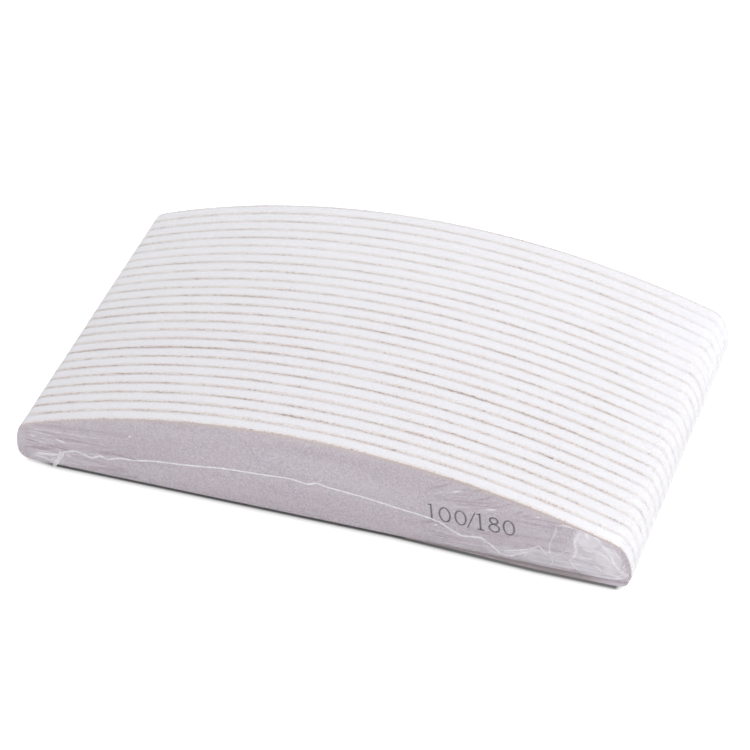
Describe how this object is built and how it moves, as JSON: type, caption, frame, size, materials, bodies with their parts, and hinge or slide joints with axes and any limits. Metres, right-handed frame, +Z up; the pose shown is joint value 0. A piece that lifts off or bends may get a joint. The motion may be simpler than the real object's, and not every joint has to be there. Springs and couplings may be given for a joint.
{
  "type": "bundle of emery boards",
  "caption": "Shrink-wrapped bundle of half-moon emery boards with white foam cores and grey grit on both faces, standing side by side on their straight edges.",
  "frame": {"origin": "under the middle of the bundle, on the surface that its folded film stands on", "axes": "+X along the boards, +Y from the printed front face to the back of the bundle, +Z up from the straight edges to the crowns"},
  "size_m": [0.1786, 0.097, 0.0306],
  "materials": {
    "foam_core": "white closed-cell foam, cut edge",
    "abrasive_sheet": "lavender-grey grit on tan backing paper",
    "adhesive": "thin dried adhesive",
    "shrink_film": "clear glossy shrink film",
    "film_seam": "clouded, crumpled shrink film"
  },
  "bodies": {
    "root": {"board_01_core": "foam_core", "board_02_core": "foam_core", "board_03_core": "foam_core", "board_04_core": "foam_core", "board_05_core": "foam_core", "board_06_core": "foam_core", "board_07_core": "foam_core", "board_08_core": "foam_core", "board_09_core": "foam_core", "board_10_core": "foam_core", "board_11_core": "foam_core", "board_12_core": "foam_core", "board_13_core": "foam_core", "board_14_core": "foam_core", "board_15_core": "foam_core", "board_16_core": "foam_core", "board_17_core": "foam_core", "board_18_core": "foam_core", "board_19_core": "foam_core", "board_20_core": "foam_core", "board_21_core": "foam_core", "board_22_core": "foam_core", "board_23_core": "foam_core", "board_24_core": "foam_core", "board_25_core": "foam_core", "board_01_sheets": "abrasive_sheet", "board_02_sheets": "abrasive_sheet", "board_03_sheets": "abrasive_sheet", "board_04_sheets": "abrasive_sheet", "board_05_sheets": "abrasive_sheet", "board_06_sheets": "abrasive_sheet", "board_07_sheets": "abrasive_sheet", "board_08_sheets": "abrasive_sheet", "board_09_sheets": "abrasive_sheet", "board_10_sheets": "abrasive_sheet", "board_11_sheets": "abrasive_sheet", "board_12_sheets": "abrasive_sheet", "board_13_sheets": "abrasive_sheet", "board_14_sheets": "abrasive_sheet", "board_15_sheets": "abrasive_sheet", "board_16_sheets": "abrasive_sheet", "board_17_sheets": "abrasive_sheet", "board_18_sheets": "abrasive_sheet", "board_19_sheets": "abrasive_sheet", "board_20_sheets": "abrasive_sheet", "board_21_sheets": "abrasive_sheet", "board_22_sheets": "abrasive_sheet", "board_23_sheets": "abrasive_sheet", "board_24_sheets": "abrasive_sheet", "board_25_sheets": "abrasive_sheet", "adhesive_layers": "adhesive", "film_wrap": "shrink_film", "film_long_seam": "film_seam", "film_end_seam_left": "film_seam", "film_end_seam_right": "film_seam", "film_tail_left": "film_seam", "film_gather_left": "film_seam", "film_gather_right": "film_seam", "film_underfold_left": "film_seam", "film_underfold_right": "film_seam"}
  },
  "joints": []
}
